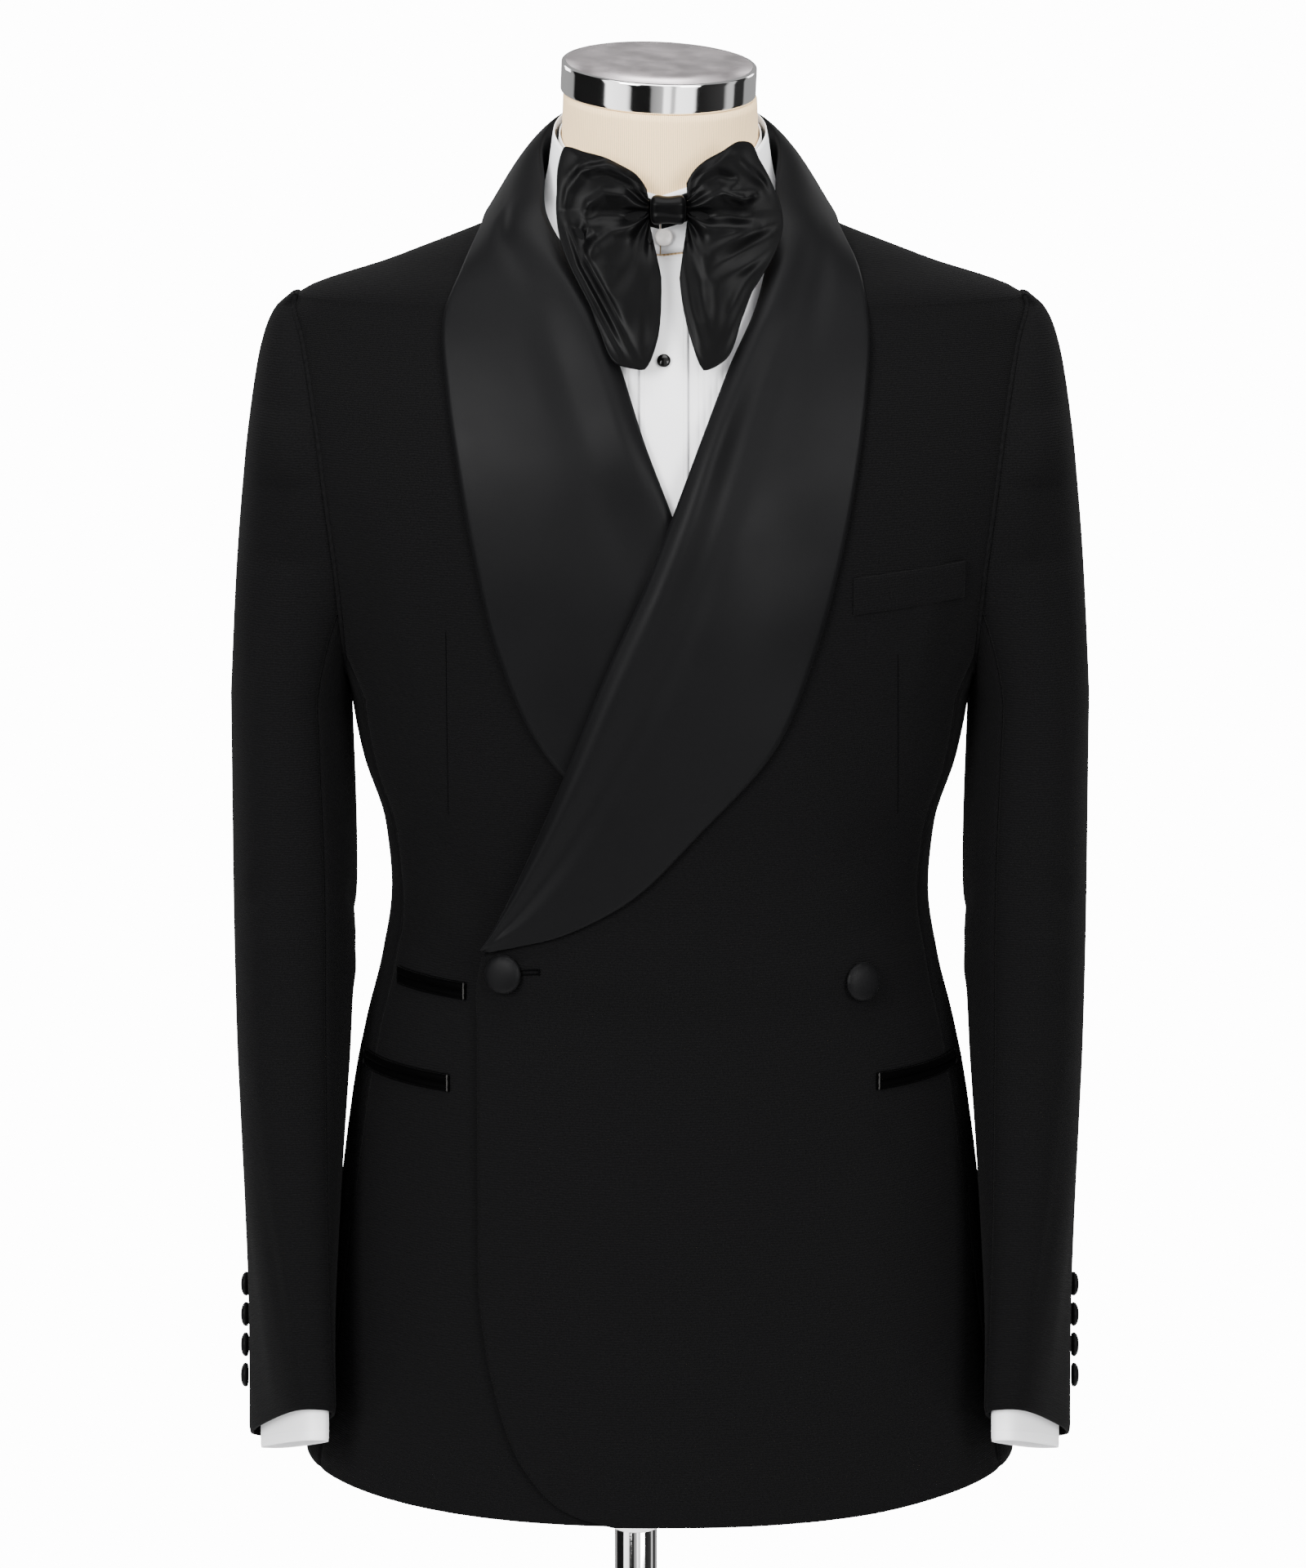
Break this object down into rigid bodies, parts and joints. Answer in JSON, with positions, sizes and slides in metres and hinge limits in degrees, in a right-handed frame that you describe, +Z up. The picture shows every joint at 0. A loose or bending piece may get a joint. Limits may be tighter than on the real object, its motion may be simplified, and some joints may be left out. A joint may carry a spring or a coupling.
{
  "type": "tuxedo on a dress form stand",
  "caption": "Black double-breasted dinner jacket with a wide satin shawl collar over a white pleated shirt and a large bow tie, on a limbless dress form with a round-based stand.",
  "frame": {"origin": "centre of the bounding box's bottom, on the floor under the round base", "axes": "+Z up, the wearer faces -Y, +X is the wearer's left"},
  "size_m": [0.519, 0.38, 1.61],
  "materials": {
    "wool": "matte black wool cloth",
    "satin": "soft-sheen black satin",
    "shirting": "smooth white cotton",
    "onyx": "polished black",
    "pearl": "pearly white",
    "cover": "ribbed cream knit",
    "steel": "polished, with a brushed top face"
  },
  "bodies": {
    "root": {"stand_pole": "steel", "stand_collar": "steel", "stand_base": "steel", "form_torso": "cover", "form_neck_cap": "steel", "jacket_front_left": "wool", "jacket_front_right": "wool", "jacket_side_left": "wool", "jacket_side_right": "wool", "jacket_back_left": "wool", "jacket_back_right": "wool", "sleeve_upper_left": "wool", "sleeve_upper_right": "wool", "sleeve_under_left": "wool", "sleeve_under_right": "wool", "chest_welt_left": "wool", "shawl_collar_left": "satin", "shawl_collar_right": "satin", "hip_jets_left": "satin", "hip_jets_right": "satin", "ticket_jets_right": "satin", "front_button_fastened": "satin", "front_button_show": "satin", "cuff_button_left_1": "satin", "cuff_button_left_2": "satin", "cuff_button_left_3": "satin", "cuff_button_left_4": "satin", "cuff_button_right_1": "satin", "cuff_button_right_2": "satin", "cuff_button_right_3": "satin", "cuff_button_right_4": "satin", "bow_wing_left": "satin", "bow_wing_right": "satin", "bow_knot": "satin", "bow_strap": "satin", "shirt_front_left": "shirting", "shirt_front_right": "shirting", "shirt_back": "shirting", "shirt_placket": "shirting", "shirt_sleeve_left": "shirting", "shirt_sleeve_right": "shirting", "shirt_cuff_left": "shirting", "shirt_cuff_right": "shirting", "shirt_collar_band": "shirting", "shirt_collar_leaf": "shirting", "shirt_stud": "onyx", "shirt_collar_button": "pearl"}
  },
  "joints": []
}
